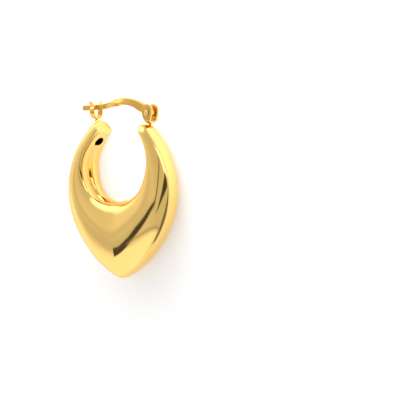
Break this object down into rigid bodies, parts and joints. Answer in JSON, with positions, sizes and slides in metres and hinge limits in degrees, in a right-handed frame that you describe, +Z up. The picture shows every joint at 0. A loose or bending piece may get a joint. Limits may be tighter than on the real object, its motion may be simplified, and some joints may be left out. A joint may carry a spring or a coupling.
{
  "type": "creole hoop earring",
  "caption": "Hollow puffed creole hoop earring with a pointed bottom, closed by a hinged, twisted ear bar that snaps into a forked catch.",
  "frame": {"origin": "on the surface that the earring lies on, under the middle of its bounding box", "axes": "+X across the hoop towards the hinge, +Y from the pointed bottom towards the ear bar, +Z up, out of the hoop's front face"},
  "size_m": [0.0194, 0.0272, 0.0053],
  "materials": {
    "polished_gold": "high polish",
    "pin_gold": "polished",
    "bar_gold": "satin polish"
  },
  "bodies": {
    "hoop": {"hoop": "polished_gold", "hinge_pin": "pin_gold"},
    "bar": {"ear_bar": "bar_gold"}
  },
  "joints": [
    {"name": "bar_hinge", "type": "hinge", "parent": "hoop", "child": "bar", "pos_m": [0.0055, 0.01128, 0.00267], "axis": [0, 0, -1], "range_deg": [0, 100]}
  ]
}
